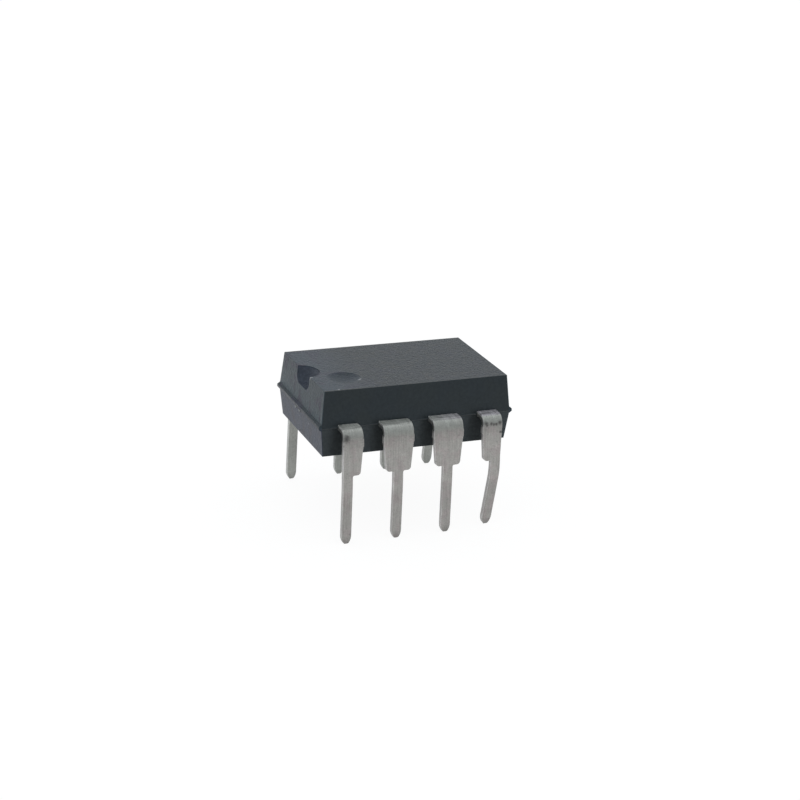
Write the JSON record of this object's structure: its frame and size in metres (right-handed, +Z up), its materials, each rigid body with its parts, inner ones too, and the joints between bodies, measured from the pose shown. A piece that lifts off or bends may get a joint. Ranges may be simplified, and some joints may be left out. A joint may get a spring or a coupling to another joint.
{
  "type": "dual in-line integrated circuit",
  "caption": "Dual in-line integrated circuit in black moulded resin, with two rows of formed tinned leads, an end notch, a first-lead dish and a bent corner leg.",
  "frame": {"origin": "middle of the overall box in plan, on the plane of the lead tips", "axes": "+X along the rows of leads, away from the notched end; +Y across the rows, away from leads 1 to 4; +Z up, out of the top face"},
  "size_m": [0.01, 0.0086, 0.0073],
  "materials": {
    "resin": "fine matt moulded epoxy resin, dark grey",
    "tinned_lead": "dull tin plate",
    "frame_alloy": "bare nickel-iron alloy",
    "silver_attach": "silver-filled adhesive",
    "silicon": "polished silicon",
    "gold_wire": "drawn gold wire"
  },
  "bodies": {
    "root": {"moulded_body": "resin", "lead_1": "tinned_lead", "lead_2": "tinned_lead", "lead_3": "tinned_lead", "lead_4": "tinned_lead", "lead_5": "tinned_lead", "lead_6": "tinned_lead", "lead_7": "tinned_lead", "lead_8": "tinned_lead", "die_pad": "frame_alloy", "die_attach": "silver_attach", "silicon_die": "silicon", "bond_wire_1": "gold_wire", "bond_wire_2": "gold_wire", "bond_wire_3": "gold_wire", "bond_wire_4": "gold_wire", "bond_wire_5": "gold_wire", "bond_wire_6": "gold_wire", "bond_wire_7": "gold_wire", "bond_wire_8": "gold_wire"}
  },
  "joints": []
}
